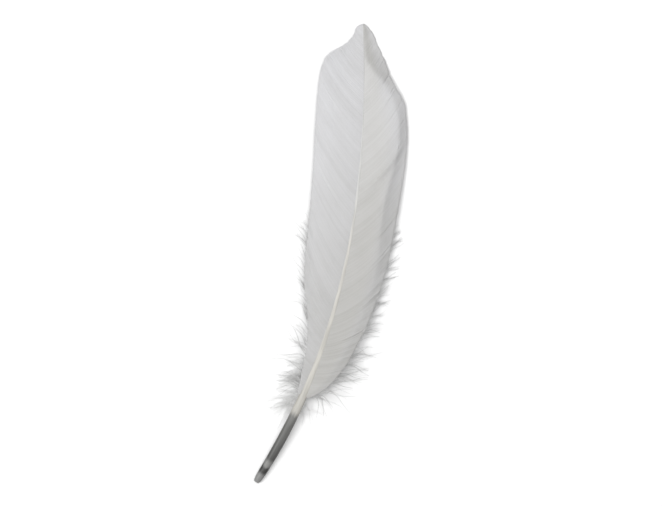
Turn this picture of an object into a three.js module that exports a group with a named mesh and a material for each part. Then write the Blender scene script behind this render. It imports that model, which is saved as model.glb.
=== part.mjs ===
// Goose quill feather, lying on a table with its upper side up. Millimetres, +Z up.
// Seen from above, the tip points along +Y and the quill leans away to -X. The origin is the
// centre of the feather's footprint, on the table.
// Every place on the feather is worked out from a station, the distance along the shaft from
// the quill's end, and from the distance out to the side of the shaft's centreline.
import * as THREE from "three";

const { clamp, degToRad, lerp, smoothstep } = THREE.MathUtils;

const CURVE_DIVISIONS = 400; // steps in which the length of a curve is measured

// Shaft: its centreline seen from above, as a Bezier curve from the quill's end to the tip
const QUILL_END = new THREE.Vector2(0, 0);
const QUILL_HANDLE = new THREE.Vector2(34.7, 53.6);
const TIP_HANDLE = new THREE.Vector2(42.7, 112.1);
const SHAFT_TIP = new THREE.Vector2(40.5, 172);
const SHAFT_BOW = 4.6; // how far the middle bows up above a straight line between its ends
const SHAFT_TIP_HEIGHT = 0.7; // centre of the shaft above the table, at the tip
const SHAFT_HALF_WIDTHS = [
  [0, 1.1],
  [4, 1.55],
  [20, 1.75],
  [36, 1.6],
  [54, 1.15],
  [90, 0.75],
  [130, 0.5],
  [181, 0.16],
]; // [station, half the width]
const SHAFT_END = 179.4; // station where the solid shaft stops, just short of the vanes' tips
const SHAFT_STEPS = 38;
const SHAFT_SIDES = 14;
const SHAFT_FLATNESS = 0.86; // height of the shaft against its width
const GROOVE_DEPTH = 0.4; // groove under the shaft, as a share of its half width
const GROOVE_SHARPNESS = 6; // power that keeps the groove to the middle of the underside
const GROOVE_START = 32; // station where the round quill gives way to the grooved shaft
const GROOVE_BLEND = 14;
const PIT_RADIUS = 0.5; // opening in the quill's end
const PIT_DEPTH = 4;

// Vanes: the outline of each web, as [station, distance out from the centreline]
const VANE_BASE = 38;
const LEFT_OUTLINE = [
  [VANE_BASE, 2.7],
  [46, 4.2],
  [56, 6],
  [66, 8.8],
  [80, 13.9],
  [96, 16.4],
  [134, 18.1],
  [154, 17.2],
  [164, 15.1],
  [169.2, 12.5],
  [173.3, 7.2],
  [177, 3.6],
  [179.4, 3.2],
  [180.2, 0.5],
];
const RIGHT_OUTLINE = [
  [VANE_BASE, 2.9],
  [44.6, 6.7],
  [58, 10.7],
  [84, 14.9],
  [112, 16.2],
  [136, 17.4],
  [150, 15.6],
  [154.6, 13.6],
  [155.4, 12.2],
  [164, 8.2],
  [168, 7.4],
  [170, 6],
  [177, 2.9],
  [180.2, 0.5],
];
const BARB_ANGLE_BASE = degToRad(64); // between a barb and the shaft, at the vane's base
const BARB_ANGLE_HIGH = degToRad(37); // the same from BARB_ANGLE_TOP on
const BARB_ANGLE_TOP = 100;
const BARB_SPLAY = degToRad(14); // extra angle where a barb leaves the shaft
const BARB_BEND = 0.42; // how far along a barb its bend lies
const WEB_COLUMNS = [0, 0.18, 0.38, 0.58, 0.76, 0.9, 1]; // along a barb, from root to edge
const VANE_ROOT_THICKNESS = 0.8;
const VANE_EDGE_THICKNESS = 0.4;
const VANE_ROOT_LIFT = 0.35; // root above the shaft's centre, as a share of its half width
const VANE_GAP = 0.2; // clearance between a web and the shaft
const MARGIN_FLAT = 0.9; // share of a barb beyond which it lies flat on the table
const MARGIN_DOWN = 74; // station where the margin has come down to the table
const LEFT_DROOP = 1.6; // power of the fall from shaft to margin: higher is flatter, then steeper
const RIGHT_DROOP = 2.3;

// Locks: barbs cling together in locks, each a ridge between two furrows. Their ends are close
// along the web's edge, and stand apart as downy points towards its base.
const VANE_LOCKS = 32;
const CLOSED_LOCK_ROWS = 2; // rows of facets across a lock: one in the furrow, one on the ridge
const LOOSE_LOCK_ROWS = 4; // the same, with one more on each flank
const RIDGE_HEIGHT = 0.18;
const LOCK_SCALLOP = 0.4; // how far a closed lock's ridge stands out past the web's edge
const FURROW_END = 0.1; // the same in a furrow
const DOWN_COLUMNS = [0.35, 0.7, 1]; // along a downy point
const DOWN_LENGTH = 10.5; // longest downy points, past the web's edge
const DOWN_LENGTH_HIGH = 3.4; // downy points higher up the vane
const DOWN_BASE = 36; // station of the lowest points
const DOWN_PEAK = 46; // station where the points are longest, and the spread about it
const DOWN_SPREAD = 22;
const DOWN_TOP = 112; // station where the edge closes up, and the blend below it
const DOWN_TOP_BLEND = 14;
const DOWN_SHARPNESS = 0.8; // under 1: the points are rounded like leaves
const DOWN_CURL = 0.12; // how far a point still follows its barb before it leans away
const DOWN_SPLIT = 1.6; // how far the furrows between downy points cut into the web
const SPLIT_ROOM = 6.4; // length of a barb that leaves room for the whole cut
const DOWN_LEAN_HIGH = degToRad(30); // towards the tip, from straight out
const DOWN_LEAN_BASE = degToRad(-62); // towards the quill, at the base
const DOWN_LEAN_FALL = 13; // stations over which the lean changes
const DOWN_TIP_THICKNESS = 0.2;

const SHAFT_COLOUR = "#d9d5c9";
const SHAFT_ROUGHNESS = 0.4;
const VANE_COLOUR = "#dcdcde";
const VANE_ROUGHNESS = 0.65;

const shaftPlan = new THREE.CubicBezierCurve(QUILL_END, QUILL_HANDLE, TIP_HANDLE, SHAFT_TIP);
shaftPlan.arcLengthDivisions = CURVE_DIVISIONS;
const SHAFT_LENGTH = shaftPlan.getLength();

// A smooth function through a list of [station, value] points.
function profile(points) {
  const stations = points.map((p) => p[0]);
  const values = points.map((p) => p[1]);
  const curve = new THREE.CubicInterpolant(stations, values, 1);
  return (station) => curve.evaluate(station)[0];
}

const shaftHalfWidth = profile(SHAFT_HALF_WIDTHS);

// Height of the shaft's centre above the table.
function shaftHeight(station) {
  const share = station / SHAFT_LENGTH;
  const line = lerp(shaftHalfWidth(0) * SHAFT_FLATNESS, SHAFT_TIP_HEIGHT, share);
  return line + 4 * SHAFT_BOW * share * (1 - share);
}

// The shaft's place, its direction and the direction out to one side, seen from above.
// Side is -1 for the left vane and 1 for the right one.
function shaftFrame(station, side) {
  const share = clamp(station / SHAFT_LENGTH, 0, 1);
  const along = shaftPlan.getTangentAt(share);
  const out = new THREE.Vector2(along.y, -along.x).multiplyScalar(side);
  return { point: shaftPlan.getPointAt(share), along, out };
}

// A closed geometry from rings of points, each joined to the next, with a cap at both ends that
// joins a ring's first half to its second. A ring has an even number of points and runs
// anticlockwise when it is seen from the last ring, looking back.
function loft(rings) {
  const sides = rings[0].length;
  const positions = rings.flat().flatMap((p) => [p.x, p.y, p.z]);
  const index = [];
  for (let r = 0; r + 1 < rings.length; r++) {
    for (let k = 0; k < sides; k++) {
      const a = r * sides + k;
      const b = r * sides + ((k + 1) % sides);
      index.push(a, b, b + sides, a, b + sides, a + sides);
    }
  }
  const last = (rings.length - 1) * sides;
  for (let k = 0; k + 1 < sides / 2; k++) {
    const across = sides - 1 - k;
    index.push(k, across, across - 1, k, across - 1, k + 1);
    index.push(last + k, last + k + 1, last + across - 1, last + k, last + across - 1, last + across);
  }
  const geometry = new THREE.BufferGeometry();
  geometry.setAttribute("position", new THREE.Float32BufferAttribute(positions, 3));
  geometry.setIndex(index);
  return geometry;
}

// A ring round the shaft: the quill is round, and the shaft beyond it is grooved below.
function shaftRing(station, half) {
  const { point, out } = shaftFrame(station, -1);
  const height = shaftHeight(station);
  const grooved = smoothstep(station, GROOVE_START, GROOVE_START + GROOVE_BLEND);
  return Array.from({ length: SHAFT_SIDES }, (_, k) => {
    const angle = ((k + 0.5) / SHAFT_SIDES) * 2 * Math.PI;
    const side = Math.cos(angle) * half;
    const groove = GROOVE_DEPTH * grooved * Math.max(0, -Math.sin(angle)) ** GROOVE_SHARPNESS;
    const up = (Math.sin(angle) * SHAFT_FLATNESS + groove) * half;
    return new THREE.Vector3(point.x + out.x * side, point.y + out.y * side, height + up);
  });
}

// The shaft: a quill with a pit in its end, which runs on as a tapering, grooved rod to the tip.
function makeShaft() {
  const rings = [shaftRing(PIT_DEPTH, PIT_RADIUS), shaftRing(0, PIT_RADIUS)];
  for (let i = 0; i <= SHAFT_STEPS; i++) {
    const station = (SHAFT_END * i) / SHAFT_STEPS;
    rings.push(shaftRing(station, shaftHalfWidth(station)));
  }
  return loft(rings);
}

// How loose and downy a vane's edge is at a station, from 1 at the base to 0 where it closes up.
function looseness(station) {
  return 1 - smoothstep(station, DOWN_TOP - DOWN_TOP_BLEND, DOWN_TOP);
}

// How far the ridge of a lock reaches past the web's edge.
function ridgeReach(station) {
  const nearPeak = Math.exp(-(((station - DOWN_PEAK) / DOWN_SPREAD) ** 2));
  return LOCK_SCALLOP + looseness(station) * lerp(DOWN_LENGTH_HIGH, DOWN_LENGTH, nearPeak);
}

// The direction in which a lock's point ends, from the frame of the shaft beside it.
function pointDirection(station, frame) {
  const nearBase = Math.exp((DOWN_BASE - station) / DOWN_LEAN_FALL);
  const lean = lerp(DOWN_LEAN_HIGH, DOWN_LEAN_BASE, nearBase);
  const direction = frame.out.clone().multiplyScalar(Math.cos(lean));
  return direction.addScaledVector(frame.along, Math.sin(lean));
}

// Station of the root of the barb that ends at a place on a vane's edge.
function barbRoot(edgeStation, edgeOut) {
  const high = smoothstep(edgeStation, VANE_BASE, BARB_ANGLE_TOP);
  const angle = lerp(BARB_ANGLE_BASE, BARB_ANGLE_HIGH, high);
  const station = edgeStation - (edgeOut - shaftHalfWidth(edgeStation)) / Math.tan(angle);
  return { station, splayed: angle + BARB_SPLAY };
}

// Height of the web's underside: it falls from the shaft and lies flat along the margin.
function underside(rootStation, edgeStation, t, droop) {
  const lift = VANE_ROOT_LIFT * shaftHalfWidth(rootStation) - VANE_ROOT_THICKNESS / 2;
  const root = shaftHeight(rootStation) + lift;
  const margin = root * (1 - smoothstep(edgeStation, VANE_BASE, MARGIN_DOWN));
  return Math.max(0, lerp(root, margin, Math.min(1, t / MARGIN_FLAT) ** droop));
}

// The vane on one side. Its edge is measured as a share of the outline, from the base to the tip.
function makeVane(side, outlinePoints, droop) {
  const outline = new THREE.SplineCurve(outlinePoints.map((p) => new THREE.Vector2(...p)));
  outline.arcLengthDivisions = CURVE_DIVISIONS;

  // A closed ring along one barb, over its top and back along its underside. The barb leaves the
  // shaft at a wide angle, bends towards the tip and runs on into the point of its lock.
  // Prominence is 0 in the furrow between two locks and 1 on the ridge of a lock.
  function barbRing(edgeShare, prominence) {
    const [edgeStation, edgeOut] = outline.getPointAt(edgeShare).toArray();
    const edge = shaftFrame(edgeStation, side);
    const end = edge.point.clone().addScaledVector(edge.out, edgeOut);
    const { station: rootStation, splayed } = barbRoot(edgeStation, edgeOut);
    const root = shaftFrame(rootStation, side);
    const start = root.point.clone();
    start.addScaledVector(root.out, shaftHalfWidth(rootStation) + VANE_GAP);

    const length = end.distanceTo(start);
    const bend = start.clone();
    bend.addScaledVector(root.along, BARB_BEND * length * Math.cos(splayed));
    bend.addScaledVector(root.out, BARB_BEND * length * Math.sin(splayed));
    const barb = new THREE.QuadraticBezierCurve(start, bend, end);
    const room = smoothstep(length, 0, SPLIT_ROOM);
    const split = (1 - prominence) * DOWN_SPLIT * room * looseness(edgeStation);
    const webEnd = 1 - split / length;

    const reach = lerp(FURROW_END, ridgeReach(edgeStation), prominence ** DOWN_SHARPNESS);
    const base = barb.getPoint(webEnd);
    const lean = pointDirection(edgeStation, edge);
    const curl = base.clone().addScaledVector(lean, reach / 2);
    curl.addScaledVector(barb.getTangent(webEnd).sub(lean), (reach / 2) * DOWN_CURL);
    const tip = base.clone().addScaledVector(lean, reach);
    const point = new THREE.QuadraticBezierCurve(base, curl, tip);

    const ridge = RIDGE_HEIGHT * prominence;
    const web = WEB_COLUMNS.map((t) => ({
      plan: barb.getPoint(t * webEnd),
      low: underside(rootStation, edgeStation, t, droop),
      thickness: lerp(VANE_ROOT_THICKNESS, VANE_EDGE_THICKNESS, t) + ridge,
    }));
    const edgeLow = web.at(-1).low;
    const down = DOWN_COLUMNS.map((t) => ({
      plan: point.getPoint(t),
      low: lerp(edgeLow, 0, t * prominence),
      thickness: lerp(VANE_EDGE_THICKNESS, DOWN_TIP_THICKNESS, t) + ridge * (1 - t),
    }));
    const places = [...web, ...down];
    const top = places.map((p) => new THREE.Vector3(p.plan.x, p.plan.y, p.low + p.thickness));
    const bottom = places.map((p) => new THREE.Vector3(p.plan.x, p.plan.y, p.low));
    const ring = [...top, ...bottom.reverse()];
    return side < 0 ? ring.reverse() : ring;
  }

  const rings = [];
  for (let lock = 0; lock < VANE_LOCKS; lock++) {
    const station = outline.getPointAt((lock + 0.5) / VANE_LOCKS).x;
    const rows = looseness(station) > 0 ? LOOSE_LOCK_ROWS : CLOSED_LOCK_ROWS;
    for (let row = 0; row < rows; row++) {
      const across = row / rows;
      rings.push(barbRing((lock + across) / VANE_LOCKS, 1 - Math.abs(2 * across - 1)));
    }
  }
  rings.push(barbRing(1, 0));
  return loft(rings);
}

function node(name, geometry, color, roughness) {
  const material = new THREE.MeshStandardMaterial({ color, roughness, metalness: 0 });
  const mesh = new THREE.Mesh(geometry, material);
  mesh.name = name;
  return mesh;
}

const feather = new THREE.Group();
feather.add(
  node("shaft", makeShaft(), SHAFT_COLOUR, SHAFT_ROUGHNESS),
  node("left_vane", makeVane(-1, LEFT_OUTLINE, LEFT_DROOP), VANE_COLOUR, VANE_ROUGHNESS),
  node("right_vane", makeVane(1, RIGHT_OUTLINE, RIGHT_DROOP), VANE_COLOUR, VANE_ROUGHNESS),
);

// The origin goes to the middle of the footprint, on the table.
const box = new THREE.Box3().setFromObject(feather);
const middle = box.getCenter(new THREE.Vector3());
for (const mesh of feather.children) {
  mesh.position.set(-middle.x, -middle.y, -box.min.z);
}

export default feather;
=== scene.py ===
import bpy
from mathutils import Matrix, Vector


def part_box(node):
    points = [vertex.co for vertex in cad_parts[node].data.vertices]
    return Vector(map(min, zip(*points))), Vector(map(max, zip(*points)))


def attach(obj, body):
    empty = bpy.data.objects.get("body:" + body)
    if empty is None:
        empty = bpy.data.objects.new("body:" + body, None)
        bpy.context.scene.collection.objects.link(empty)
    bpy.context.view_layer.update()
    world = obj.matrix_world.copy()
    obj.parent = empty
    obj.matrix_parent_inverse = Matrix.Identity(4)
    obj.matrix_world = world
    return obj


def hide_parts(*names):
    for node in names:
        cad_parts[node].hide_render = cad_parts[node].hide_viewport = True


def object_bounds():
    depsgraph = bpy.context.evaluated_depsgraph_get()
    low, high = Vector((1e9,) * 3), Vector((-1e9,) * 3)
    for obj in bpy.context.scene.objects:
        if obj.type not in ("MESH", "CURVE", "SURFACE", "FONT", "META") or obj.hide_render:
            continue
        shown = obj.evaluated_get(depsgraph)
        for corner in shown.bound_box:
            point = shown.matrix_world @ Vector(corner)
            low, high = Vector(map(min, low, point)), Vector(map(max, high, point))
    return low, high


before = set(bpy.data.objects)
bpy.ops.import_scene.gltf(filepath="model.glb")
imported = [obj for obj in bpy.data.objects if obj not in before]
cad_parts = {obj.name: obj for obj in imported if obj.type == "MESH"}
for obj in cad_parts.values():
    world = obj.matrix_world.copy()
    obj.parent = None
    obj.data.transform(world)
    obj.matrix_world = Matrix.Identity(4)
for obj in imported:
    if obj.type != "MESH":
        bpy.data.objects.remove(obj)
cad_box = [list(corner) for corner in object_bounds()]

import math

import bpy
import numpy as np
from mathutils import Vector

MM = 0.001

# Shaft
SHAFT_PLAN = [(0, 0), (34.7, 53.6), (42.7, 112.1), (40.5, 172)]  # Bezier: end, handles, tip
SHAFT_BOW = 4.6  # how far the middle bows up above a straight line between its ends
SHAFT_TIP_HEIGHT = 0.7
SHAFT_HALF_WIDTHS = [
    (0, 1.1), (4, 1.55), (20, 1.75), (36, 1.6), (54, 1.15), (90, 0.75), (130, 0.5), (181, 0.16),
]  # (station, half the width)
SHAFT_END = 180.5  # station where the shaft stops, just short of the vanes' tips
SHAFT_FLATNESS = 0.86  # height against width
SHAFT_SQUARENESS = 3  # power of its section past the quill, where 2 is round
SHAFT_STEPS = 260
SHAFT_SIDES = 40
PLAN_POINTS = 2001
DIRECTION_STEP = 0.001  # share of the shaft's length over which its direction is read
GROOVE_DEPTH = 0.4  # groove under the shaft, as a share of its half width
GROOVE_NARROWNESS = 6
GROOVE_START = 32
GROOVE_BLEND = 14
PIT_RADIUS = 0.5  # opening in the quill's end
PIT_DEPTH = 4
RIM_ROUNDING = 0.35  # round edge between the quill's end and its side
RIM_RINGS = (4, 5)  # over the inner and the outer half of that edge
STREAK_STRETCH = 0.07  # streaks in the horn: width against length

# Vanes: the outline of each web, as (station, distance out from the centreline)
LEFT_OUTLINE = [
    (38, 2.7), (46, 4.2), (56, 6), (66, 8.8), (80, 13.9), (96, 16.4), (134, 18.1), (154, 17.7),
    (164, 16.4), (169.6, 13.7), (173.3, 7.6), (177, 3.8), (178.8, 3.2), (180, 2.3), (180.8, 0.4),
]
RIGHT_OUTLINE = [
    (38, 2.9), (44.6, 7.6), (58, 11.7), (84, 15.2), (112, 16.2), (136, 17.2), (148, 16.2),
    (152, 15.3), (155.5, 13.2), (159, 11.1), (164, 9), (168, 7.7), (171, 6.2), (177, 3.7),
    (179.8, 1.8), (181, 0.4),
]
VANE_BASE = 38
BARB_ANGLE_BASE = math.radians(64)  # between a barb and the shaft, at the vane's base
BARB_ANGLE_HIGH = math.radians(37)  # the same from BARB_ANGLE_TOP on
BARB_ANGLE_TOP = 100
BARB_SPLAY = math.radians(14)  # extra angle where a barb leaves the shaft
BARB_BEND = 0.42  # how far along a barb its bend lies
# Roots of the barbs, beside and above the shaft's centreline, as shares of its half width
BARB_ROOTS = [(90, 0.75, 0.7), (150, 0.35, 0.75)]  # (station, beside, above)
BARB_COUNT = 380  # on each side
BARB_POINTS = 24
BARB_OVERLAP = 1.5  # width of a barb against the room it has
BARB_ROOM = 0.5  # most room that a barb fills
# A barb's section, for a width of 1, as (across, up): a ridged stem with a thin web on both sides
BARB_SECTION = [
    (-0.5, 0.012), (-0.13, 0.03), (0, 0.24), (0.13, 0.03), (0.5, 0.012), (0.5, -0.012), (0, -0.06),
    (-0.5, -0.012),
]
BARB_TIP = 0.4  # width of a barb's end against the rest of it, and the share that narrows
BARB_TIP_SHARE = 0.03
BARB_TILT = math.radians(8)  # each barb laps over the next
BARB_TILT_SPREAD = math.radians(4)
SAG_POWER = 1.4  # above 1: barbs sag more towards their ends
EDGE_HEIGHT = 0.25  # barbs' ends above the table, and the rounding where they come down to it
TABLE_BLEND = 0.15
MARGIN_DOWN = 92  # station where the margin has come down to the table
# Margins turned down: (station, length of barb past the crease, slope there, how much painted shade
# darkens the barbs past it)
LEFT_MARGIN = [(38, 3, 0.03, 0), (100, 9, 0.06, 0), (150, 9, 0.06, 0), (181, 4, 0.06, 0)]
RIGHT_MARGIN = [
    (38, 3.5, 0.08, 0.12), (60, 4, 0.1, 0.1), (84, 5, 0.15, 0), (100, 7, 0.2, 0.02),
    (113, 10, 0.22, 0.08), (126, 11, 0.26, 0), (135, 8, 0.34, 0), (142, 5.2, 0.45, 0),
    (151, 4.6, 0.42, 0.05), (157, 3, 0.34, 0.12), (161, 3.3, 0.3, 0.24), (164, 4.4, 0.3, 0.28),
    (168, 6.4, 0.3, 0.28), (174, 7.5, 0.3, 0.26), (181, 4, 0.3, 0.24),
]
MARGIN_EASE = 6  # distance past the crease over which its slope eases off
SHADE_BLEND = (-1, 1.4)  # from before the crease to past it, where painted shade darkens the barbs
HERRINGBONE_SPACING = 0.17  # of the barbules along a barb, and how far they lean over half its width
HERRINGBONE_SLANT = 0.4
# Barbs cling together in locks
LOCK_BARBS = (6, 20)  # barbs in a lock
LOCK_CROWN = 0.06  # how far a lock's middle stands above its sides
LOCK_GATHER = (0.005, 0.03)  # how far a lock's barbs draw together at their ends
LOCK_ROUNDING = 0.1  # how much shorter its outer barbs are, and the power by which they shorten
LOCK_ROUNDING_POWER = 3
LOCK_UNEVEN = 0.06  # how much longer or shorter one lock is than the next
BARB_UNEVEN = 0.1  # how much shorter single barbs may be, and how much more so along a loose edge
LOOSE_UNEVEN = 0.9
LOOSE_SHIFT = 0.3  # how far barbs' ends stray along a loose edge, and how far locks lift there
LOOSE_LIFT = 0.6
# Folds run along the barbs: (station where they meet the edge, height)
LEFT_FOLDS = [(161, 0.06), (152, -0.07), (143, 0.06), (119, 0.05), (104, -0.05), (88, 0.08)]
RIGHT_FOLDS = [(146, 0.08), (139, 0.4), (135.5, -0.25), (121, -0.1), (101, 0.08), (84, -0.08)]
FOLD_WIDTH = 1.6
FOLD_POWER = 0.7  # below 1: a fold is high along most of its barbs
# Notches in the edge: (station, depth along the barbs)
LEFT_NOTCHES = [(174.5, 0.2), (178.2, 0.2), (167, 0.15)]
RIGHT_NOTCHES = [(169, 0.3), (162, 0.2), (173, 0.2)]
NOTCH_WIDTH = 0.7
# Tones, where 1 spans the barbs' two whites, and how they change: (station, change of tone). They fall
# towards the base partly as downier, more grey barbs and partly as painted shade; the right vane's lower
# tones are painted shade of its slope away from the light.
BARB_TONES = (0.69, 0.81)
LOCK_TONE = 0.03  # how much lighter or darker one lock is than the next
LEFT_TONES = [
    (38, -0.36), (60, -0.34), (75, -0.28), (95, -0.2), (112, -0.12), (135, 0.02), (155, 0.07),
]
RIGHT_TONES = [
    (38, -0.38), (60, -0.48), (80, -0.4), (100, -0.33), (125, -0.18), (150, -0.05), (181, -0.05),
]
CREAM_FADE = (0.4, 0.8)  # shares of a barb between which it turns from cream to plain white

# Down along the lower edge of each vane, in tufts: (station, length past the web's edge, degrees
# from straight out towards the tip, how far its strands part at their ends, as a share of its length)
DOWN_EDGE = [
    (36, 9, -28, 0.2), (41, 12, -8, 0.2), (46, 13, 4, 0.2), (52, 11, 10, 0.2), (58, 8.5, 16, 0.2),
    (66, 7, 30, 0.2), (78, 6.5, 42, 0.18), (112, 5, 42, 0.15),
]
DOWN_TOP = 112  # station where the edge closes up, and the blend below it
DOWN_TOP_BLEND = 14
EDGE_POINTS = 400
EDGE_FIRST = 0.005  # share of the edge where the first strands leave it
TUFT_STRANDS = 5  # most strands in a tuft, where single ones are the most common
TUFT_CROWDING = 1.3  # above 1: tufts are closer together near the base
TUFT_WIDTH = 0.16  # along the edge, where a tuft leaves the web, for each of its strands
TUFT_REACH = (0.7, 1.1)  # of the full length
TUFT_SCATTER = 11  # degrees by which tufts lean more or less than their neighbours
TUFT_SHORT = 0.25  # most by which a strand ends short of the others, as a share of its length
HAIR_WIDTHS = (0.11, 0.2)  # strands along the edge
# Low tones of the strands along the edge: painted shade that shows them grey against the table
HAIR_TONES = (0, 0.45)
HAIR_BARBULES = (1.0, 0.09)  # their length, and the distance between them along a strand
HAIR_DROOP = (0.1, 0.75)  # height that their ends keep, as a share of their starts', and a lift
HAIR_LIFT = 0.3
HAIR_ARCH = 0.06  # most height of their arch, as a share of their length

# Down round the top of the quill
QUILL_TOP = 30.5  # stations between which strands grow straight from the shaft
QUILL_FLUFF_TOP = 52
FLUFF_CROWDING = 1.4  # above 1: strands are closer together near the quill
FLUFF_WIDTHS = (0.07, 0.15)
FLUFF_LENGTHS = (5, 12)
# Painted shade here too, milder than along the edges
FLUFF_TONES = (0.5, 0.9)
FLUFF_SPACING = 0.17  # between barbules
FLUFF_STARTS = (-0.5, 0.5)  # above the shaft's middle
FLUFF_ENDS = (0.1, 1.2)  # above the table
FLUFF_FIRST_LEAN = (0.35, 0.25)  # towards the tip as strands leave, in radians: middle and spread
FLUFF_LEAN = (-0.5, 0.45)  # the same for their ends, and how much of it holds from low to high up
FLUFF_LEAN_SHARES = (1.3, 0.4)
FLUFF_ARCH = (-0.02, 0.08)

# Strands of down and their barbules
STRAND_START = 0.94  # how far along its barb a strand leaves the web
STRAND_SINK = 0.1  # and how far below the web
STRAND_CURL = 0.35  # share of a strand that still follows its barb before it curls away
STRAND_SWAY = 0.08  # how far a strand waves, as a share of its length, and the wave's radians
STRAND_WAVE = 5
STRAND_FALL = 0.8  # below 1: strands come down early
STRAND_POINTS = 14
STRAND_SIDES = 5
STRAND_TIP = 0.35  # width of a strand's end against its start
FULL_LENGTH = 7  # shorter strands are thinner, down to a share of the width
THINNEST = 0.4
BARBULE_WIDTH = 0.08
BARBULE_BEND = 0.12
BARBULE_TIP = 0.3  # width of its end against its start
BARBULE_LEAN = (0.5, 1.5)  # how far out it points for one step along the strand
BARBULE_LIFT = ((-0.1, -0.1, -0.2), (0.1, 0.1, 0.6))
BARBULE_UNEVEN = (0.5, 1.1)  # shares of its full length
BARBULE_GROWTH = 6  # how fast barbules get long, from the first share, and how much they lose again
BARBULE_FIRST = 0.1
BARBULE_LOSS = 0.75
TABLE_GAP = 0.03


# Lines and places on the feather

def by_length(points):
    """A line's length, and a function that gives the place at a share of it, from 0 to 1."""
    steps = np.linalg.norm(np.diff(points, axis=0), axis=1)
    lengths = np.concatenate(([0], np.cumsum(steps)))

    def place(share):
        at = np.asarray(share) * lengths[-1]
        return np.stack([np.interp(at, lengths, axis) for axis in points.T], axis=-1)

    return lengths[-1], place


def bezier(points, t):
    """Places along Bezier curves of any degree. Points and t may hold many curves at once."""
    points = [np.asarray(p, float) for p in points]
    while len(points) > 1:
        points = [a + (b - a) * t for a, b in zip(points, points[1:])]
    return points[0]


def spline(points, steps=40):
    """A smooth line through points, by the Catmull-Rom rule."""
    p = np.array([points[0], *points, points[-1]], float)
    t = np.linspace(0, 1, steps, endpoint=False)[:, None]
    line = []
    for a, b, c, d in zip(p, p[1:], p[2:], p[3:]):
        cubic = (3 * b - a - 3 * c + d) * t**3
        square = (2 * a - 5 * b + 4 * c - d) * t**2
        line.append(0.5 * (2 * b + (c - a) * t + square + cubic))
    return np.vstack([*line, p[-1]])


def smoothstep(x, low, high):
    t = np.clip((x - low) / (high - low), 0, 1)
    return t * t * (3 - 2 * t)


def softened(x, blend):
    """The larger of a value and 0, with a rounded bend between them."""
    return blend * np.logaddexp(0, x / blend)


def mix(a, b, share):
    return a + (b - a) * share


def arch(t):
    """An arch of height 1 that stands on 0 and 1."""
    return 4 * t * (1 - t)


def at_station(rows, station):
    """The columns of a table whose rows start with their stations, read at other stations."""
    stations, *columns = np.array(rows, float).T
    return [np.interp(station, stations, column) for column in columns]


SHAFT_LENGTH, shaft_place = by_length(
    bezier(SHAFT_PLAN, np.linspace(0, 1, PLAN_POINTS)[:, None]))
HALF_WIDTH_LINE = spline(SHAFT_HALF_WIDTHS)


def half_width(station):
    return np.interp(station, *HALF_WIDTH_LINE.T)


def shaft_height(station):
    """Height of the shaft's centre above the table."""
    share = np.asarray(station) / SHAFT_LENGTH
    line = mix(half_width(0) * SHAFT_FLATNESS, SHAFT_TIP_HEIGHT, share)
    return line + SHAFT_BOW * arch(share)


def shaft_frame(station, sign):
    """The shaft's place, its direction and the way out to one side, seen from above."""
    station = np.asarray(station)
    share = np.clip(station / SHAFT_LENGTH, DIRECTION_STEP, 1 - DIRECTION_STEP)
    along = shaft_place(share + DIRECTION_STEP) - shaft_place(share - DIRECTION_STEP)
    along /= np.linalg.norm(along, axis=-1, keepdims=True)
    out = sign * np.stack([along[..., 1], -along[..., 0]], axis=-1)
    past = np.maximum(station - SHAFT_LENGTH, 0)
    return shaft_place(station / SHAFT_LENGTH) + along * past[..., None], along, out


def looseness(station):
    """How loose a vane's edge is, from 1 at the base to 0 where it closes up."""
    return 1 - smoothstep(station, DOWN_TOP - DOWN_TOP_BLEND, DOWN_TOP)


def ways(along, out, lean):
    """Directions that lean from straight out towards the tip, or the quill if negative."""
    return out * np.cos(lean)[:, None] + along * np.sin(lean)[:, None]


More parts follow.
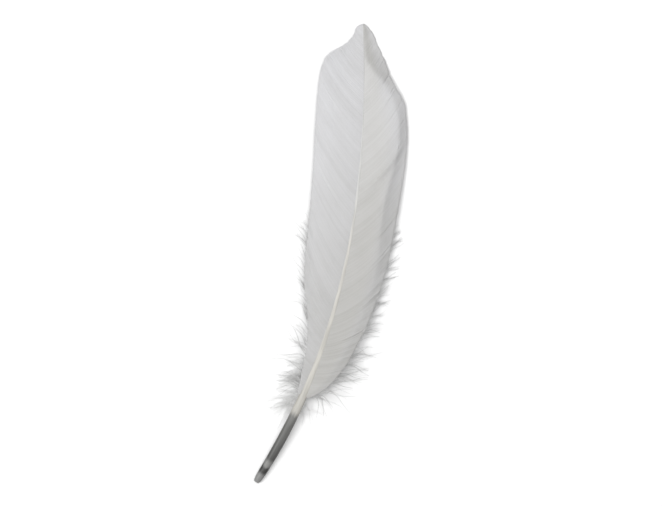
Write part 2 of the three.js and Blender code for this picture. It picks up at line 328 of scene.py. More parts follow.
class Vane:
    """One side of the feather: where its barbs run, from their roots on the shaft to the edge."""

    def __init__(self, name, sign, outline, margin, folds, notches, tones,
                 cream, sag, crease, fray, tufts, fluff, barbules):
        self.name = name
        self.sign = sign
        self.edge_length, self.edge_place = by_length(spline(outline))
        self.margin = margin
        self.folds = folds
        self.notches = notches
        self.tones = tones
        self.cream = cream  # how creamy barbs are near the shaft
        self.sag = sag  # share of its height that a barb loses up to the edge, before the margin's
        self.crease = crease  # distance over which the margin turns down
        self.fray = fray  # how far the loose edge comes apart
        self.tufts = tufts  # along the edge
        self.fluff = fluff  # strands round the top of the quill
        self.barbules = barbules  # length of the barbules on those strands

    def barb_span(self, share):
        """Stations where barbs leave the shaft and where they end, at shares of the edge, and angles."""
        station, out = self.edge_place(share).T
        high = smoothstep(station, VANE_BASE, BARB_ANGLE_TOP)
        angle = mix(BARB_ANGLE_BASE, BARB_ANGLE_HIGH, high)
        return station - (out - half_width(station)) / np.tan(angle), station, angle

    def web(self, share, t, shift=0, trim=0):
        """Lines of the barbs that end at shares of the edge.

        A barb's end may be shifted along the edge, by a share of it, or trimmed short.
        """
        root_station, station, angle = self.barb_span(share)
        root, along, way = shaft_frame(root_station, self.sign)
        beside, above = at_station(BARB_ROOTS, root_station) * half_width(root_station)
        start = root + way * beside[:, None]
        end_station, end_out = self.edge_place(np.clip(share + shift, 0, 1)).T
        edge, _, edge_way = shaft_frame(end_station, self.sign)
        end = edge + edge_way * end_out[:, None]
        length = np.linalg.norm(end - start, axis=1)
        bend = start + BARB_BEND * length[:, None] * ways(along, way, np.pi / 2 - angle - BARB_SPLAY)
        shown = t[None, :] * (1 - trim / length)[:, None]
        plan = bezier([p[:, None, :] for p in (start, bend, end)], shown[..., None])

        top = shaft_height(root_station) + above
        down = smoothstep(station, VANE_BASE, MARGIN_DOWN)
        margin, slope, _ = at_station(self.margin, station)
        margin = np.minimum(margin, length)
        past = softened(t[None, :] * length[:, None] - (length - margin)[:, None], self.crease)
        fall = (slope * MARGIN_EASE)[:, None] * (1 - np.exp(-past / MARGIN_EASE))
        sag = self.sag * (top - EDGE_HEIGHT)[:, None] * t[None, :] ** SAG_POWER
        height = top[:, None] - down[:, None] * (sag + fall)
        for at, fold in self.folds:
            bump = fold * np.exp(-(((station - at) / FOLD_WIDTH) ** 2))
            height = height + bump[:, None] * np.sin(np.pi * t[None, :]) ** FOLD_POWER
        height = EDGE_HEIGHT + softened(height - EDGE_HEIGHT, TABLE_BLEND)
        return np.dstack([plan, height])

    def notch_trim(self, station):
        """How far barbs are worn short at the edge's notches."""
        return sum(deep * np.exp(-(((station - at) / NOTCH_WIDTH) ** 2)) for at, deep in self.notches)

    def margin_shade(self, station, length, t):
        """How much painted shade darkens barbs along their turned-down ends."""
        margin, _, shade_depth = at_station(self.margin, station)
        past = t[None, :] * length[:, None] - (length - margin)[:, None]
        return shade_depth[:, None] * smoothstep(past, *SHADE_BLEND)


VANES = [
    Vane("left", -1, LEFT_OUTLINE, LEFT_MARGIN, LEFT_FOLDS, LEFT_NOTCHES, LEFT_TONES,
         cream=0.1, sag=0.6, crease=1.5, fray=0.3, tufts=34, fluff=110, barbules=1.5),
    Vane("right", 1, RIGHT_OUTLINE, RIGHT_MARGIN, RIGHT_FOLDS, RIGHT_NOTCHES, RIGHT_TONES,
         cream=0.55, sag=0.6, crease=0.5, fray=0.2, tufts=36, fluff=24, barbules=0.9),
]


# Nodes: one function adds any node, and the trees and materials are written with it

def add(tree, kind, settings=None, inputs=None):
    """A new node with its settings, and its inputs set to values or linked from other sockets."""
    node = tree.nodes.new(kind)
    for name, value in (settings or {}).items():
        setattr(node, name, value)
    for name, value in (inputs or {}).items():
        if isinstance(value, bpy.types.NodeSocket):
            tree.links.new(value, node.inputs[name])
        else:
            node.inputs[name].default_value = value
    return node


def new_tree(name, inputs):
    """An empty Geometry Nodes tree with named inputs, and the node that gives them."""
    tree = bpy.data.node_groups.new(name, "GeometryNodeTree")
    face = tree.interface
    face.new_socket("Guides", in_out="INPUT", socket_type="NodeSocketGeometry")
    for label, kind in inputs.items():
        face.new_socket(label, in_out="INPUT", socket_type="NodeSocket" + kind)
    face.new_socket("Geometry", in_out="OUTPUT", socket_type="NodeSocketGeometry")
    return tree, add(tree, "NodeGroupInput").outputs


def above_table(tree, geometry, table):
    """Lifts whatever has sunk below the table's height back onto it."""
    place = add(tree, "GeometryNodeInputPosition")
    parts = add(tree, "ShaderNodeSeparateXYZ", inputs={0: place.outputs[0]})
    above = add(tree, "ShaderNodeMath", {"operation": "MAXIMUM"}, {0: parts.outputs["Z"], 1: table})
    kept = add(tree, "ShaderNodeCombineXYZ", inputs={
        "X": parts.outputs["X"], "Y": parts.outputs["Y"], "Z": above.outputs[0],
    })
    laid = add(tree, "GeometryNodeSetPosition",
               inputs={"Geometry": geometry, "Position": kept.outputs[0]})
    return laid.outputs[0]


def end_tree(tree, geometry, material):
    """The end of every tree: real mesh, smooth, with its material."""
    real = add(tree, "GeometryNodeRealizeInstances", inputs={"Geometry": geometry})
    smooth = add(tree, "GeometryNodeSetShadeSmooth", inputs={"Geometry": real.outputs[0]})
    done = add(tree, "GeometryNodeSetMaterial",
               inputs={"Geometry": smooth.outputs[0], "Material": material})
    add(tree, "NodeGroupOutput", inputs={"Geometry": done.outputs[0]})


def web_tree():
    """Turns guide lines into flat barbs, each a little tilted so that it laps over the next."""
    tree, given = new_tree("web of barbs", {
        "Section": "Object", "Overlap": "Float", "Tilt": "Float", "Tilt Spread": "Float",
        "Table": "Float", "Seed": "Int", "Material": "Material",
    })
    curve = add(tree, "GeometryNodeMeshToCurve", inputs={"Mesh": given["Guides"]})
    facing = add(tree, "GeometryNodeInputNamedAttribute", {"data_type": "FLOAT_VECTOR"},
                 {"Name": "facing"})
    faced = add(tree, "GeometryNodeSetCurveNormal", {"mode": "FREE"},
                {"Curve": curve.outputs[0], "Normal": facing.outputs[0]})
    barb = add(tree, "GeometryNodeCurveOfPoint")
    low = add(tree, "ShaderNodeMath", {"operation": "SUBTRACT"},
              {0: given["Tilt"], 1: given["Tilt Spread"]})
    high = add(tree, "ShaderNodeMath", {"operation": "ADD"},
               {0: given["Tilt"], 1: given["Tilt Spread"]})
    tilt = add(tree, "FunctionNodeRandomValue", {"data_type": "FLOAT"}, {
        "Min": low.outputs[0], "Max": high.outputs[0],
        "ID": barb.outputs["Curve Index"], "Seed": given["Seed"],
    })
    tilted = add(tree, "GeometryNodeSetCurveTilt",
                 inputs={"Curve": faced.outputs[0], "Tilt": tilt.outputs["Value"]})
    girth = add(tree, "GeometryNodeInputNamedAttribute", {"data_type": "FLOAT"}, {"Name": "girth"})
    radius = add(tree, "ShaderNodeMath", {"operation": "MULTIPLY"},
                 {0: girth.outputs[0], 1: given["Overlap"]})
    section = add(tree, "GeometryNodeObjectInfo", inputs={"Object": given["Section"]})
    profile = add(tree, "GeometryNodeMeshToCurve", inputs={"Mesh": section.outputs["Geometry"]})
    swept = add(tree, "GeometryNodeCurveToMesh", inputs={
        "Curve": tilted.outputs[0], "Profile Curve": profile.outputs[0], "Fill Caps": True,
        "Scale": radius.outputs[0],
    })
    laid = above_table(tree, swept.outputs[0], given["Table"])
    end_tree(tree, laid, given["Material"])
    return tree


def down_tree():
    """Turns guide lines into strands of down, with fine barbules along both sides of each."""
    tree, given = new_tree("strands of down", {
        "Barbule Length": "Float", "Barbule Width": "Float", "Barbule Spacing": "Float",
        "Table": "Float", "Seed": "Int", "Material": "Material",
    })
    curve = add(tree, "GeometryNodeMeshToCurve", inputs={"Mesh": given["Guides"]})
    girth = add(tree, "GeometryNodeInputNamedAttribute", {"data_type": "FLOAT"}, {"Name": "girth"})
    ring = add(tree, "GeometryNodeCurvePrimitiveCircle", inputs={
        "Resolution": STRAND_SIDES, "Radius": 0.5,
    })
    strand = add(tree, "GeometryNodeCurveToMesh", inputs={
        "Curve": curve.outputs[0], "Profile Curve": ring.outputs[0], "Fill Caps": True,
        "Scale": girth.outputs[0],
    })

    # One barbule: a thin, slightly bent spike along +X, of length 1
    spine = add(tree, "GeometryNodeCurveQuadraticBezier", inputs={
        "Resolution": 3, "Start": (0, 0, 0), "Middle": (0.5, BARBULE_BEND, 0), "End": (1, 0, 0),
    })
    along = add(tree, "GeometryNodeSplineParameter")
    slim = add(tree, "ShaderNodeMath", {"operation": "DIVIDE"},
               {0: given["Barbule Width"], 1: given["Barbule Length"]})
    taper = add(tree, "ShaderNodeMapRange",
                inputs={"Value": along.outputs["Factor"], "To Min": 1.0, "To Max": BARBULE_TIP})
    thick = add(tree, "ShaderNodeMath", {"operation": "MULTIPLY"},
                {0: slim.outputs[0], 1: taper.outputs[0]})
    triangle = add(tree, "GeometryNodeCurvePrimitiveCircle", inputs={"Resolution": 3, "Radius": 0.5})
    barbule = add(tree, "GeometryNodeCurveToMesh", inputs={
        "Curve": spine.outputs[0], "Profile Curve": triangle.outputs[0], "Fill Caps": True,
        "Scale": thick.outputs[0],
    })

    # Barbules leave a strand on its left and right in turn, leaning towards its tip
    points = add(tree, "GeometryNodeCurveToPoints", {"mode": "LENGTH"},
                 {"Curve": curve.outputs[0], "Length": given["Barbule Spacing"]})
    index = add(tree, "GeometryNodeInputIndex")
    parity = add(tree, "ShaderNodeMath", {"operation": "MODULO"}, {0: index.outputs[0], 1: 2.0})
    turn = add(tree, "ShaderNodeMapRange",
               inputs={"Value": parity.outputs[0], "To Min": -1.0, "To Max": 1.0})
    side = add(tree, "ShaderNodeVectorMath", {"operation": "CROSS_PRODUCT"},
               {0: points.outputs["Tangent"], 1: (0, 0, 1)})
    lean = add(tree, "FunctionNodeRandomValue", {"data_type": "FLOAT"},
               {"Min": BARBULE_LEAN[0], "Max": BARBULE_LEAN[1], "Seed": given["Seed"]})
    reach = add(tree, "ShaderNodeMath", {"operation": "MULTIPLY"},
                {0: turn.outputs[0], 1: lean.outputs["Value"]})
    outward = add(tree, "ShaderNodeVectorMath", {"operation": "SCALE"},
                  {0: side.outputs[0], "Scale": reach.outputs[0]})
    lift = add(tree, "FunctionNodeRandomValue", {"data_type": "FLOAT_VECTOR"},
               {"Min": BARBULE_LIFT[0], "Max": BARBULE_LIFT[1], "Seed": given["Seed"]})
    flat_way = add(tree, "ShaderNodeVectorMath", {"operation": "ADD"},
                   {0: points.outputs["Tangent"], 1: outward.outputs[0]})
    way = add(tree, "ShaderNodeVectorMath", {"operation": "ADD"},
              {0: flat_way.outputs[0], 1: lift.outputs["Value"]})
    up = add(tree, "ShaderNodeCombineXYZ", inputs={"Z": turn.outputs[0]})
    turned = add(tree, "FunctionNodeAxesToRotation", {"primary_axis": "X", "secondary_axis": "Z"},
                 {"Primary Axis": way.outputs[0], "Secondary Axis": up.outputs[0]})
    fluff = add(tree, "GeometryNodeInputNamedAttribute", {"data_type": "FLOAT"}, {"Name": "fluff"})
    uneven = add(tree, "FunctionNodeRandomValue", {"data_type": "FLOAT"},
                 {"Min": BARBULE_UNEVEN[0], "Max": BARBULE_UNEVEN[1], "Seed": given["Seed"]})
    share = add(tree, "ShaderNodeMath", {"operation": "MULTIPLY"},
                {0: fluff.outputs[0], 1: uneven.outputs["Value"]})
    length = add(tree, "ShaderNodeMath", {"operation": "MULTIPLY"},
                 {0: share.outputs[0], 1: given["Barbule Length"]})
    barbules = add(tree, "GeometryNodeInstanceOnPoints", inputs={
        "Points": points.outputs["Points"], "Instance": barbule.outputs[0],
        "Rotation": turned.outputs[0], "Scale": length.outputs[0],
    })
    real = add(tree, "GeometryNodeRealizeInstances", inputs={"Geometry": barbules.outputs[0]})
    both = add(tree, "GeometryNodeJoinGeometry", inputs={"Geometry": strand.outputs[0]})
    tree.links.new(real.outputs[0], both.inputs[0])

    laid = above_table(tree, both.outputs[0], given["Table"])
    end_tree(tree, laid, given["Material"])
    return tree


# Meshes

def new_object(name, mesh):
    piece = bpy.data.objects.new(name, mesh)
    bpy.context.scene.collection.objects.link(piece)
    return piece


def loft(name, rings):
    """A closed mesh from rings of points, each joined to the next, with caps at both ends."""
    count, sides = rings.shape[:2]
    faces = []
    for r in range(count - 1):
        for k in range(sides):
            a, b = r * sides + k, r * sides + (k + 1) % sides
            faces.append((a, b, b + sides, a + sides))
    faces.append(tuple(range(sides))[::-1])
    faces.append(tuple(range((count - 1) * sides, count * sides)))
    mesh = bpy.data.meshes.new(name)
    mesh.from_pydata(rings.reshape(-1, 3).tolist(), [], faces)
    mesh.shade_smooth()
    return mesh


def shaft_ring(station, half):
    """A ring round the shaft: the quill is round, and the shaft beyond it squarer, grooved below."""
    point, _, out = shaft_frame(station, -1)
    angle = 2 * np.pi * (np.arange(SHAFT_SIDES) + 0.5) / SHAFT_SIDES
    grooved = smoothstep(station, GROOVE_START, GROOVE_START + GROOVE_BLEND)
    power = mix(2, SHAFT_SQUARENESS, grooved)
    corner = (np.abs(np.cos(angle)) ** power + np.abs(np.sin(angle)) ** power) ** (-1 / power)
    groove = GROOVE_DEPTH * grooved * np.maximum(0, -np.sin(angle)) ** GROOVE_NARROWNESS
    up = (corner * np.sin(angle) * SHAFT_FLATNESS + groove) * half
    plan = point + out * (corner * np.cos(angle) * half)[:, None]
    height = max(shaft_height(station), SHAFT_FLATNESS * half)
    return np.column_stack([plan, height + up])


def shaft_rings():
    """Rings from the bottom of the quill's pit, out over its rim and along the shaft to the tip."""
    rings = [(PIT_DEPTH, PIT_RADIUS), (RIM_ROUNDING, PIT_RADIUS)]
    for turn in np.linspace(0, np.pi / 2, RIM_RINGS[0] + 1)[1:]:
        inner = mix(PIT_RADIUS, half_width(0) - RIM_ROUNDING, math.sin(turn))
        rings.append((RIM_ROUNDING * (1 - math.sin(turn)), inner))
    for turn in np.linspace(0, np.pi / 2, RIM_RINGS[1] + 1)[1:]:
        outer = half_width(0) - RIM_ROUNDING * (1 - math.sin(turn))
        rings.append((RIM_ROUNDING * (1 - math.cos(turn)), outer))
    for station in np.linspace(RIM_ROUNDING, SHAFT_END, SHAFT_STEPS)[1:]:
        rings.append((station, half_width(station)))
    stations = np.array([station for station, _ in rings])
    return stations, np.array([shaft_ring(station, half) for station, half in rings])


shaft_stations, shaft_points = shaft_rings()
# The plan's place in the frame: the shaft's box here goes to its box there
plan_middle = (shaft_points.min((0, 1)) + shaft_points.max((0, 1))) / 2
frame_middle = np.array(sum(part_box("shaft"), Vector())) / 2 / MM
PLAN_SHIFT = np.array([*(frame_middle - plan_middle)[:2], 0])


def in_frame(points):
    return (points + PLAN_SHIFT) * MM


def give(mesh, name, kind, values):
    """Stores values on a mesh's points, for its trees and materials to read."""
    key = "vector" if kind == "FLOAT_VECTOR" else "value"
    attribute = mesh.attributes.new(name, kind, "POINT")
    attribute.data.foreach_set(key, np.asarray(values, np.float32).ravel())


def guide_mesh(name, lines):
    """Guide lines, as a mesh of edges, from an array of lines by points by three."""
    count, points = lines.shape[:2]
    first = np.arange(count * points).reshape(count, points)
    edges = np.stack([first[:, :-1], first[:, 1:]], axis=-1).reshape(-1, 2)
    mesh = bpy.data.meshes.new(name)
    mesh.from_pydata(in_frame(lines).reshape(-1, 3).tolist(), edges.tolist(), [])
    return mesh


def grow(name, guides, tree, values):
    """The plain mesh that a tree makes on guide lines."""
    piece = new_object(name, guides)
    modifier = piece.modifiers.new(tree.name, "NODES")
    modifier.node_group = tree
    for socket in tree.interface.items_tree:
        if socket.name in values:
            modifier[socket.identifier] = values[socket.name]
    graph = bpy.context.evaluated_depsgraph_get()
    mesh = bpy.data.meshes.new_from_object(piece.evaluated_get(graph), depsgraph=graph,
                                           preserve_all_data_layers=True)
    piece.modifiers.clear()
    piece.data = mesh
    bpy.data.meshes.remove(guides)
    return piece


# Materials

def linear(code):
    """An sRGB hex colour as the linear one that the shaders use."""
    parts = [int(code[i:i + 2], 16) / 255 for i in (1, 3, 5)]
    return [c / 12.92 if c <= 0.04045 else ((c + 0.055) / 1.055) ** 2.4 for c in parts] + [1]


def new_material(name):
    material = bpy.data.materials.new(name)
    material.use_nodes = True
    tree = material.node_tree
    tree.nodes.clear()
    return material, tree


CLOUD_SIZE = 9  # soft clouds of tone in the web, and how strong they are
CLOUD_TONE = 0.16
HERRINGBONE_RELIEF = 0.02
STREAK_SIZE = 0.7
BAND_UNEVEN = 0.6  # how far streaks shift the bands in the quill along it
NOISE_RANGE = (0.3, 0.7)  # what the noise textures mostly give
TABLE_CLOUD_SIZE = 60
# The horn's colours along the shaft, as (station, colour)
HORN_COLOURS = [
    (0, "#7a7a79"), (3.6, "#727271"), (4.8, "#323231"), (6.6, "#373736"), (7.6, "#71716f"),
    (9.2, "#71716f"), (10.6, "#454544"), (15, "#4f4f4e"), (24, "#5e5e5c"), (28.6, "#6b6b69"),
    (31, "#a2a09a"), (60, "#afada7"), (95, "#b0aea9"), (118, "#b1b1af"),
]
HORN_COLOURS_END = 120


def barb_keratin():
    """Barbs of white keratin: matt with a silky sheen, each a slightly different white.

    Hooked barbules cross each barb in a herringbone. They are drawn about five times as coarse as
    they are, because the real ones are too fine to show.
    """
    material, tree = new_material("barb keratin")
    # The tone holds each barb's own white, and also painted shade: along the vane, deeper on the right
    # one, and on the turned-down margins
    tone = add(tree, "ShaderNodeAttribute", {"attribute_name": "tone"})
    place = add(tree, "ShaderNodeTexCoord")
    cloud = add(tree, "ShaderNodeTexNoise", inputs={
        "Vector": place.outputs["Object"], "Scale": 1 / (CLOUD_SIZE * MM), "Detail": 2.0,
    })
    shade = add(tree, "ShaderNodeMath", {"operation": "MULTIPLY_ADD"},
                {0: cloud.outputs[0], 1: CLOUD_TONE, 2: tone.outputs["Fac"]})
    colour = add(tree, "ShaderNodeMix", {"data_type": "RGBA"}, {
        "Factor": shade.outputs[0], 6: linear("#92918d"), 7: linear("#c7c7c9"),
    })
    cream = add(tree, "ShaderNodeAttribute", {"attribute_name": "cream"})
    tinted = add(tree, "ShaderNodeMix", {"data_type": "RGBA", "blend_type": "MULTIPLY"}, {
        "Factor": cream.outputs["Fac"], 6: colour.outputs[2], 7: linear("#fffef9"),
    })
    along = add(tree, "ShaderNodeAttribute", {"attribute_name": "along"})
    across = add(tree, "ShaderNodeAttribute", {"attribute_name": "across"})
    side = add(tree, "ShaderNodeMath", {"operation": "ABSOLUTE"}, {0: across.outputs["Fac"]})
    slant = add(tree, "ShaderNodeMath", {"operation": "MULTIPLY_ADD"},
                {0: side.outputs[0], 1: -HERRINGBONE_SLANT, 2: along.outputs["Fac"]})
    turns = add(tree, "ShaderNodeMath", {"operation": "MULTIPLY"},
                {0: slant.outputs[0], 1: 2 * math.pi / HERRINGBONE_SPACING})
    ridges = add(tree, "ShaderNodeMath", {"operation": "SINE"}, {0: turns.outputs[0]})
    relief = add(tree, "ShaderNodeBump", inputs={
        "Strength": 0.3, "Distance": HERRINGBONE_RELIEF * MM, "Height": ridges.outputs[0],
    })
    rough = add(tree, "ShaderNodeMapRange", inputs={
        "Value": cloud.outputs[0], "From Min": NOISE_RANGE[0], "From Max": NOISE_RANGE[1],
        "To Min": 0.5, "To Max": 0.62,
    })
    shader = add(tree, "ShaderNodeBsdfPrincipled", inputs={
        "Base Color": tinted.outputs[2], "Roughness": rough.outputs[0], "Sheen Weight": 0.2,
        "Sheen Roughness": 0.4, "Normal": relief.outputs[0],
    })
    add(tree, "ShaderNodeOutputMaterial", inputs={"Surface": shader.outputs[0]})
    return material


def down_keratin():
    """Loose down: the same white keratin, softer and with no gloss. Its greys are painted shade, deepest
    on the strands along the edges, so that they show against the table.
    """
    material, tree = new_material("down keratin")
    tone = add(tree, "ShaderNodeAttribute", {"attribute_name": "tone"})
    colour = add(tree, "ShaderNodeMix", {"data_type": "RGBA"}, {
        "Factor": tone.outputs["Fac"], 6: linear("#9e9e9d"), 7: linear("#e2e2e1"),
    })
    shader = add(tree, "ShaderNodeBsdfPrincipled", inputs={
        "Base Color": colour.outputs[2], "Roughness": 0.7, "Sheen Weight": 0.2,
        "Sheen Roughness": 0.5,
    })
    add(tree, "ShaderNodeOutputMaterial", inputs={"Surface": shader.outputs[0]})
    return material


def quill_horn():
    """Horn: cream and opaque along the vanes, grey and half clear on the bare quill.

    Streaks run along it, and the dry pulp inside shows as bands near the quill's end.
    """
    material, tree = new_material("quill horn")
    station = add(tree, "ShaderNodeAttribute", {"attribute_name": "station"})
    skin = add(tree, "ShaderNodeAttribute", {"attribute_name": "skin"})
    streak = add(tree, "ShaderNodeTexNoise",
                 inputs={"Vector": skin.outputs["Vector"], "Scale": 1 / STREAK_SIZE, "Detail": 3.0})
    uneven = add(tree, "ShaderNodeMapRange", inputs={
        "Value": streak.outputs[0], "From Min": NOISE_RANGE[0], "From Max": NOISE_RANGE[1],
        "To Min": -BAND_UNEVEN, "To Max": BAND_UNEVEN,
    })
    shifted = add(tree, "ShaderNodeMath", {"operation": "ADD"},
                  {0: uneven.outputs[0], 1: station.outputs["Fac"]})
    share = add(tree, "ShaderNodeMapRange",
                inputs={"Value": shifted.outputs[0], "From Min": 0.0, "From Max": HORN_COLOURS_END})
    ramp = add(tree, "ShaderNodeValToRGB", inputs={"Fac": share.outputs[0]})
    stops = ramp.color_ramp.elements
    stops.remove(stops[0])
    for k, (at, code) in enumerate(HORN_COLOURS):
        stop = stops.new(at / HORN_COLOURS_END) if k else stops[0]
        stop.position = at / HORN_COLOURS_END
        stop.color = linear(code)
    bright = add(tree, "ShaderNodeMapRange", inputs={
        "Value": streak.outputs[0], "From Min": NOISE_RANGE[0], "From Max": NOISE_RANGE[1],
        "To Min": 0.8, "To Max": 1.15,
    })
    colour = add(tree, "ShaderNodeVectorMath", {"operation": "SCALE"},
                 {0: ramp.outputs[0], "Scale": bright.outputs[0]})
    shader = add(tree, "ShaderNodeBsdfPrincipled", inputs={
        "Base Color": colour.outputs[0], "Roughness": 0.42, "IOR": 1.55, "Specular IOR Level": 0.22,
    })
    add(tree, "ShaderNodeOutputMaterial", inputs={"Surface": shader.outputs[0]})
    return material


def table_paint():
    """Pale matt paint of the table top, with a barely visible unevenness."""
    material, tree = new_material("table paint")
    place = add(tree, "ShaderNodeTexCoord")
    cloud = add(tree, "ShaderNodeTexNoise",
                inputs={"Vector": place.outputs["Object"], "Scale": 1 / (TABLE_CLOUD_SIZE * MM)})
    colour = add(tree, "ShaderNodeMix", {"data_type": "RGBA"}, {
        "Factor": cloud.outputs[0], 6: linear("#dedede"), 7: linear("#e1e1e1"),
    })
    shader = add(tree, "ShaderNodeBsdfPrincipled",
                 inputs={"Base Color": colour.outputs[2], "Roughness": 0.8})
    add(tree, "ShaderNodeOutputMaterial", inputs={"Surface": shader.outputs[0]})
    return material


# Pieces

def make_shaft():
    mesh = loft("horn_shaft", in_frame(shaft_points))
    give(mesh, "station", "FLOAT", np.repeat(shaft_stations, SHAFT_SIDES))
    angle = np.tile(2 * np.pi * np.arange(SHAFT_SIDES) / SHAFT_SIDES, len(shaft_stations))
    along = np.repeat(shaft_stations, SHAFT_SIDES) * STREAK_STRETCH
    give(mesh, "skin", "FLOAT_VECTOR", np.column_stack([np.cos(angle), np.sin(angle), along]))
    mesh.materials.append(quill_horn())
    return new_object("horn_shaft", mesh)


def lock_places(count, rng):
    """For each barb: the number of its lock and its place across it, from -1 to 1."""
    lock = np.zeros(count, int)
    across = np.zeros(count)
    first = 0
    while first < count:
        last = min(count, first + int(rng.integers(*LOCK_BARBS)))
        lock[first:last] = lock[first - 1] + 1 if first else 0
        across[first:last] = np.linspace(-1, 1, last - first + 2)[1:-1]
        first = last
    return lock, across


def barb_section():
    """The section of a barb, as a loop of edges, for the web's tree to sweep along its guides."""
    count = len(BARB_SECTION)
    mesh = bpy.data.meshes.new("barb_section")
    points = [(up, across, 0) for across, up in BARB_SECTION]
    mesh.from_pydata(points, [(k, (k + 1) % count) for k in range(count)], [])
    give(mesh, "across", "FLOAT", [across for across, _ in BARB_SECTION])
    return new_object("barb_section", mesh)


def make_web(vane, section, tree, material, seed):
    """The web of one vane: barbs that cling together in locks."""
    rng = np.random.default_rng(seed)
    t = np.linspace(0, 1, BARB_POINTS)
    share = (np.arange(BARB_COUNT) + 0.5) / BARB_COUNT
    root_station, station, _ = vane.barb_span(share)
    loose = vane.fray * looseness(station)
    lock, across = lock_places(BARB_COUNT, rng)
    middles = np.array([share[lock == k].mean() for k in range(lock[-1] + 1)])
    shift = rng.uniform(*LOCK_GATHER, len(middles))[lock] * (middles[lock] - share)
    shift += loose * rng.normal(0, LOOSE_SHIFT, BARB_COUNT) / vane.edge_length
    trim = LOCK_ROUNDING * np.abs(across) ** LOCK_ROUNDING_POWER
    trim += rng.uniform(-LOCK_UNEVEN, LOCK_UNEVEN, len(middles))[lock]
    trim += rng.uniform(0, BARB_UNEVEN + LOOSE_UNEVEN * loose, BARB_COUNT)
    trim += vane.notch_trim(station)
    lines = vane.web(share, t, shift, trim)
    crown = LOCK_CROWN * (1 - across**2)[:, None] * np.sin(np.pi * t)[None, :]
    stray = (loose * rng.uniform(0, LOOSE_LIFT, len(middles))[lock])[:, None] * t[None, :] ** 2
    lines[..., 2] += crown + stray

    # The way up from the web, and the room each barb has between its neighbours
    even = vane.web(share, t)
    next_barb = np.gradient(even, axis=0)
    forward = np.gradient(even, axis=1)
    forward /= np.linalg.norm(forward, axis=-1, keepdims=True)
    facing = np.cross(forward, next_barb)
    facing *= np.sign(facing[..., 2:])
    room = np.linalg.norm(facing, axis=-1)
    facing /= room[..., None]
    taper = np.clip((1 - t) / BARB_TIP_SHARE, BARB_TIP, 1)
    girth = np.minimum(room, BARB_ROOM) * taper[None, :]
    length = np.linalg.norm(even[:, -1] - even[:, 0], axis=1)

    guides = guide_mesh(vane.name + "_guides", lines)
    give(guides, "facing", "FLOAT_VECTOR", facing)
    give(guides, "girth", "FLOAT", girth * MM)
    give(guides, "along", "FLOAT", np.outer(length, t) + rng.uniform(0, 1, (BARB_COUNT, 1)))
    tone = rng.uniform(*BARB_TONES, BARB_COUNT)
    tone += rng.uniform(-LOCK_TONE, LOCK_TONE, len(middles))[lock]
    # Tones along the vane, partly more grey near the base and partly painted shade, less the margins'
    # painted shade
    reached = mix(root_station[:, None], station[:, None], t[None, :])
    grey_and_shade = at_station(vane.tones, reached)[0] - vane.margin_shade(station, length, t)
    give(guides, "tone", "FLOAT", tone[:, None] + grey_and_shade)
    cream = vane.cream * (1 - smoothstep(t, *CREAM_FADE))
    give(guides, "cream", "FLOAT", np.tile(cream, (BARB_COUNT, 1)))
    return grow(vane.name + "_vane_barbs", guides, tree, {
        "Section": section, "Overlap": BARB_OVERLAP, "Tilt": vane.sign * BARB_TILT,
        "Tilt Spread": BARB_TILT_SPREAD, "Table": TABLE_GAP * MM, "Seed": seed, "Material": material,
    })


def strand_lines(start, first_way, end, low, rise, rng):
    """Curved strands that leave a given way, from their starts to their ends at low heights.

    They rise on the way, by a share of their length.
    """
    t = np.linspace(0, 1, STRAND_POINTS)
    length = np.linalg.norm(end - start[:, :2], axis=1)
    curl = start[:, :2] + first_way * (length * STRAND_CURL)[:, None]
    plan = bezier([p[:, None, :] for p in (start[:, :2], curl, end)], t[None, :, None])
    way = (end - start[:, :2]) / length[:, None]
    sideways = np.stack([-way[:, 1], way[:, 0]], axis=-1)
    turn = rng.uniform(0, 2 * np.pi, len(start))[:, None] + STRAND_WAVE * t[None, :]
    sway = (STRAND_SWAY * length)[:, None] * np.sin(turn) * t[None, :]
    plan = plan + sideways[:, None, :] * sway[..., None]
    height = mix(start[:, 2:], low[:, None], t[None, :] ** STRAND_FALL)
    height = height + (rise * length)[:, None] * arch(t)[None, :]
    return np.dstack([plan, height])


def edge_strands(vane, rng):
    """Strands that run on from the web's barbs, past its edge, and draw together in tufts."""
    shares = np.linspace(0, 1, EDGE_POINTS)
    limit = np.interp(DOWN_TOP, vane.edge_place(shares)[:, 0], shares)
    spaced = (np.arange(vane.tufts) + rng.uniform(0, 1, vane.tufts)) / vane.tufts
    middle = limit * spaced**TUFT_CROWDING
    station, out = vane.edge_place(middle).T
    reach, lean, spray = at_station(DOWN_EDGE, station)
    strands = 1 + (TUFT_STRANDS * rng.uniform(0, 1, vane.tufts) ** 2).astype(int)
    reach *= looseness(station) * rng.uniform(*TUFT_REACH, vane.tufts)
    lean = np.radians(lean + rng.normal(0, TUFT_SCATTER, vane.tufts))
    place, along, way = shaft_frame(station, vane.sign)
    point = place + way * out[:, None] + ways(along, way, lean) * reach[:, None]

    tuft = np.repeat(np.arange(vane.tufts), strands)
    spread = rng.normal(0, 1, len(tuft)) * strands[tuft] * TUFT_WIDTH / vane.edge_length
    share = np.clip(middle[tuft] + spread, EDGE_FIRST, limit)
    barbs = vane.web(share, np.array([STRAND_START, 1]))
    start = barbs[:, 0] - (0, 0, STRAND_SINK)
    first_way = barbs[:, 1, :2] - start[:, :2]
    first_way /= np.linalg.norm(first_way, axis=1, keepdims=True)
    loose = rng.normal(0, 1, (len(tuft), 2)) * (spray * reach)[tuft][:, None]
    short = rng.uniform(0, TUFT_SHORT, len(tuft))[:, None]
    end = mix(point[tuft] + loose, barbs[:, 1, :2], short)
    low = start[:, 2] * rng.uniform(*HAIR_DROOP, vane.tufts)[tuft]
    low += rng.uniform(0, HAIR_LIFT, len(tuft))
    return strand_lines(start, first_way, end, low, rng.uniform(0, HAIR_ARCH, len(tuft)), rng)


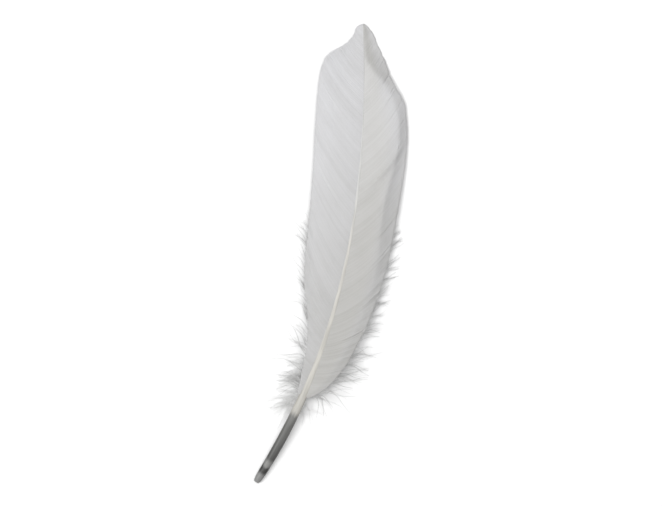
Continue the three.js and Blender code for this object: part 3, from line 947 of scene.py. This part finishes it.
def quill_strands(vane, rng):
    """Strands that grow straight from the shaft, round the top of the quill."""
    high = rng.uniform(0, 1, vane.fluff) ** FLUFF_CROWDING
    station = mix(QUILL_TOP, QUILL_FLUFF_TOP, high)
    point, along, out = shaft_frame(station, vane.sign)
    beside, _ = at_station(BARB_ROOTS, station) * half_width(station)
    side = point + out * beside[:, None]
    height = shaft_height(station) + rng.uniform(*FLUFF_STARTS, vane.fluff)
    start = np.column_stack([side, height])
    first_way = ways(along, out, rng.normal(*FLUFF_FIRST_LEAN, vane.fluff))
    lean = rng.normal(*FLUFF_LEAN, vane.fluff) * mix(*FLUFF_LEAN_SHARES, high)
    length = rng.uniform(*FLUFF_LENGTHS, vane.fluff)
    end = side + ways(along, out, lean) * length[:, None]
    low = rng.uniform(*FLUFF_ENDS, vane.fluff)
    return strand_lines(start, first_way, end, low, rng.uniform(*FLUFF_ARCH, vane.fluff), rng)


def make_down(name, lines, widths, tones, barbules, tree, material, seed):
    """Loose down on guide lines: strands with barbules, given as their length and spacing."""
    rng = np.random.default_rng(seed)
    t = np.linspace(0, 1, STRAND_POINTS)
    guides = guide_mesh(name + "_guides", lines)
    length = np.linalg.norm(lines[:, -1] - lines[:, 0], axis=1)
    width = rng.uniform(*widths, len(lines)) * np.clip(length / FULL_LENGTH, THINNEST, 1) * MM
    give(guides, "girth", "FLOAT", np.outer(width, mix(1, STRAND_TIP, t)))
    fluff = np.clip(t * BARBULE_GROWTH, BARBULE_FIRST, 1) * (1 - BARBULE_LOSS * t)
    give(guides, "fluff", "FLOAT", np.tile(fluff, (len(lines), 1)))
    give(guides, "tone", "FLOAT", np.repeat(rng.uniform(*tones, len(lines)), STRAND_POINTS))
    return grow(name, guides, tree, {
        "Barbule Length": barbules[0] * MM, "Barbule Width": BARBULE_WIDTH * MM,
        "Barbule Spacing": barbules[1] * MM, "Table": TABLE_GAP * MM, "Seed": seed,
        "Material": material,
    })


def dress(piece, node):
    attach(piece, "root")
    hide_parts(node)


dress(make_shaft(), "shaft")
barb_web, down_strands, section = web_tree(), down_tree(), barb_section()
barb_material, down_material = barb_keratin(), down_keratin()
for seed, vane in enumerate(VANES, start=1):
    node = vane.name + "_vane"
    dress(make_web(vane, section, barb_web, barb_material, seed), node)
    rng = np.random.default_rng(seed + 10)
    tufts = make_down(vane.name + "_edge_tufts", edge_strands(vane, rng), HAIR_WIDTHS, HAIR_TONES,
                      HAIR_BARBULES, down_strands, down_material, seed + 20)
    dress(tufts, node)
    fluff = make_down(vane.name + "_quill_fluff", quill_strands(vane, rng), FLUFF_WIDTHS, FLUFF_TONES,
                      (vane.barbules, FLUFF_SPACING), down_strands, down_material, seed + 30)
    dress(fluff, node)
bpy.data.objects.remove(section)


# Table, light and camera, in metres

TABLE_SIZE = 3.0
LAMPS = [("key light", (-0.72, -0.12, 0.85), 0.5, 8), ("top light", (0.1, 0.1, 1.2), 1.0, 10)]
SKY_STRENGTH = 0.45
FRAME_ASPECT = 663 / 507
FEATHER_SHARE = 0.9  # of the picture's height
CAMERA_HEIGHT = 0.75
SENSOR_WIDTH = 36.0


def make_table():
    half = TABLE_SIZE / 2
    corners = [(-half, -half, 0), (half, -half, 0), (half, half, 0), (-half, half, 0)]
    mesh = bpy.data.meshes.new("table")
    mesh.from_pydata(corners, [], [(0, 1, 2, 3)])
    mesh.materials.append(table_paint())
    new_object("table", mesh)


def soft_box(name, place, size, power):
    """A square soft light that faces the feather."""
    light = bpy.data.lights.new(name, "AREA")
    light.shape = "SQUARE"
    light.size = size
    light.energy = power
    lamp = bpy.data.objects.new(name, light)
    lamp.location = place
    lamp.rotation_euler = (-Vector(place)).to_track_quat("-Z", "Y").to_euler()
    bpy.context.scene.collection.objects.link(lamp)


def make_camera():
    low, high = (Vector(corner) for corner in cad_box)
    middle = (low + high) / 2
    view_height = (high.y - low.y) / FEATHER_SHARE
    camera = bpy.data.cameras.new("camera")
    camera.sensor_width = SENSOR_WIDTH
    camera.lens = SENSOR_WIDTH * CAMERA_HEIGHT / (view_height * FRAME_ASPECT)
    holder = bpy.data.objects.new("camera", camera)
    holder.location = (middle.x, middle.y, CAMERA_HEIGHT)
    bpy.context.scene.collection.objects.link(holder)
    bpy.context.scene.camera = holder


def make_world():
    world = bpy.data.worlds.new("studio")
    world.use_nodes = True
    sky = world.node_tree.nodes["Background"]
    sky.inputs["Color"].default_value = (1, 1, 1, 1)
    sky.inputs["Strength"].default_value = SKY_STRENGTH
    bpy.context.scene.world = world


make_table()
make_world()
for lamp in LAMPS:
    soft_box(*lamp)
make_camera()
bpy.context.scene.view_settings.view_transform = "Standard"
